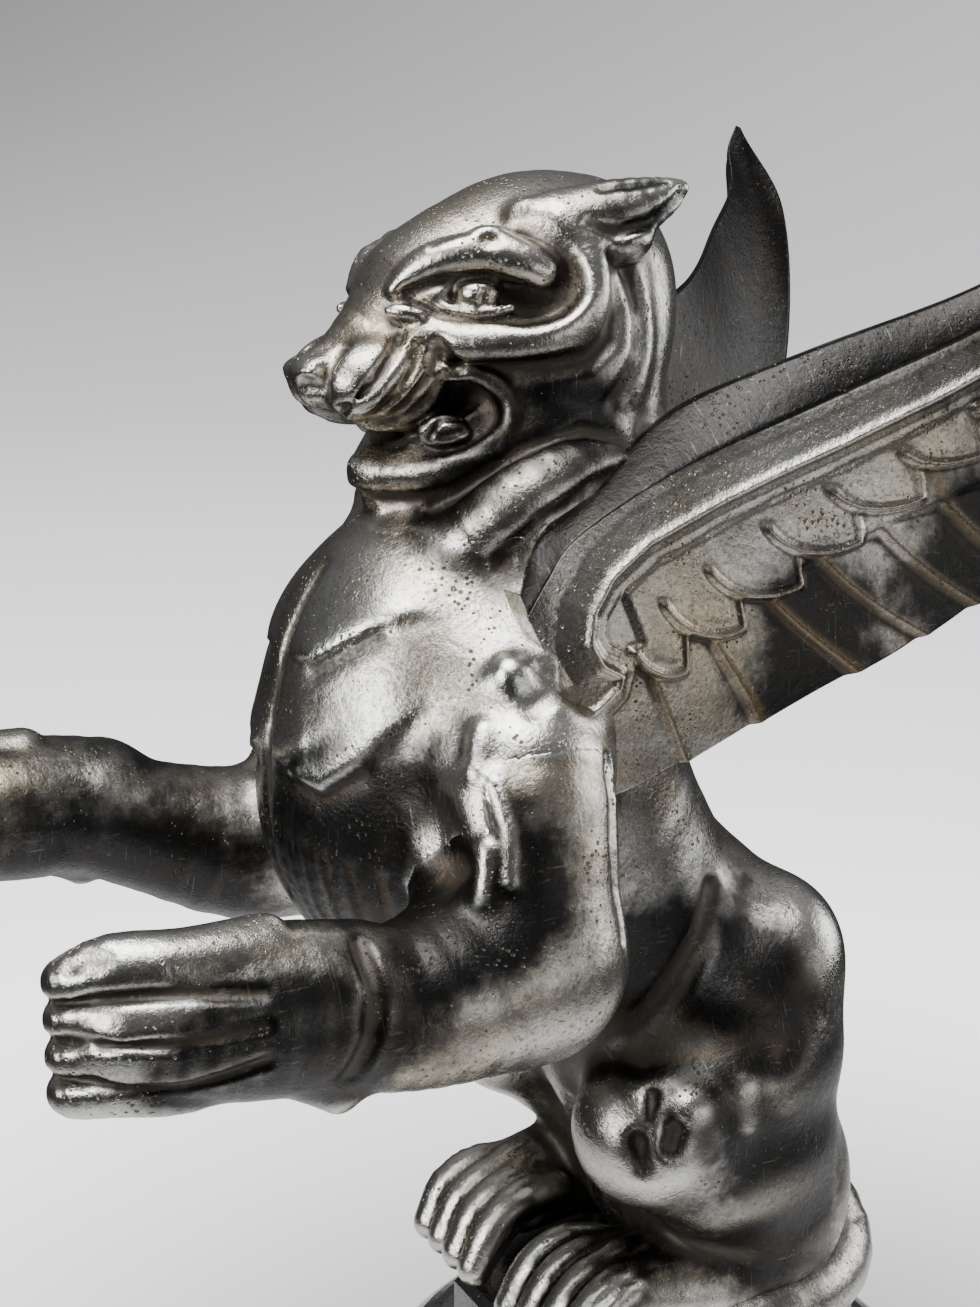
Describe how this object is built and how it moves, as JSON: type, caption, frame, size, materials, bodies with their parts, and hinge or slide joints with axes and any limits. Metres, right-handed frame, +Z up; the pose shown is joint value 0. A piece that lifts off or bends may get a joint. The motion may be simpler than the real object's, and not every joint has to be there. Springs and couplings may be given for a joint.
{
  "type": "hood ornament",
  "caption": "Rearing winged panther mascot in worn silver plate on an eight-sided plinth, bolted by a stud through a domed screw-on radiator cap.",
  "frame": {"origin": "on the cap's axis, in the plane of the cap's rim", "axes": "+Z up along the cap's axis and the stud; the figure faces -Y; +X is the figure's left side"},
  "size_m": [0.0884, 0.1222, 0.1685],
  "materials": {
    "silver_plate": "worn tarnished silver plate over cast brass, brown-black in the recesses",
    "plinth_plate": "dark tarnished plate",
    "cap_plate": "worn nickel plate over spun brass",
    "brass": "aged brass",
    "steel": "dull zinc-plated steel",
    "fibre": "dark red-brown vulcanised fibre",
    "rubber": "matt black rubber"
  },
  "bodies": {
    "cap": {"cap_shell": "cap_plate", "thread_ring": "brass", "neck_gasket": "rubber"},
    "figure": {"seal_washer": "fibre", "plinth": "plinth_plate", "stud": "steel", "figure_screws": "steel", "body_casting": "silver_plate", "left_wing": "silver_plate", "right_wing": "silver_plate", "left_foreleg": "silver_plate", "right_foreleg": "silver_plate", "tail": "silver_plate", "wing_pins": "brass", "foreleg_pins": "brass", "tail_pin": "brass"},
    "washers": {"clamp_plate": "steel", "lock_washer": "steel"},
    "nut": {"hex_nut": "steel"}
  },
  "joints": [
    {"name": "figure_swivel", "type": "hinge", "parent": "cap", "child": "figure", "pos_m": [0, 0, 0.024], "axis": [0, 0, 1], "continuous": true},
    {"name": "washer_travel", "type": "slide", "parent": "figure", "child": "washers", "axis": [0, 0, -1], "range_m": [0, 0.00875]},
    {"name": "nut_turn", "type": "hinge", "parent": "washers", "child": "nut", "pos_m": [0, 0, 0.01575], "axis": [0, 0, -1], "range_deg": [0, 2520.1]}
  ],
  "couplings": [
    {"joint": "nut_turn", "follows": "washer_travel", "rad_per_m": 5026.5}
  ]
}
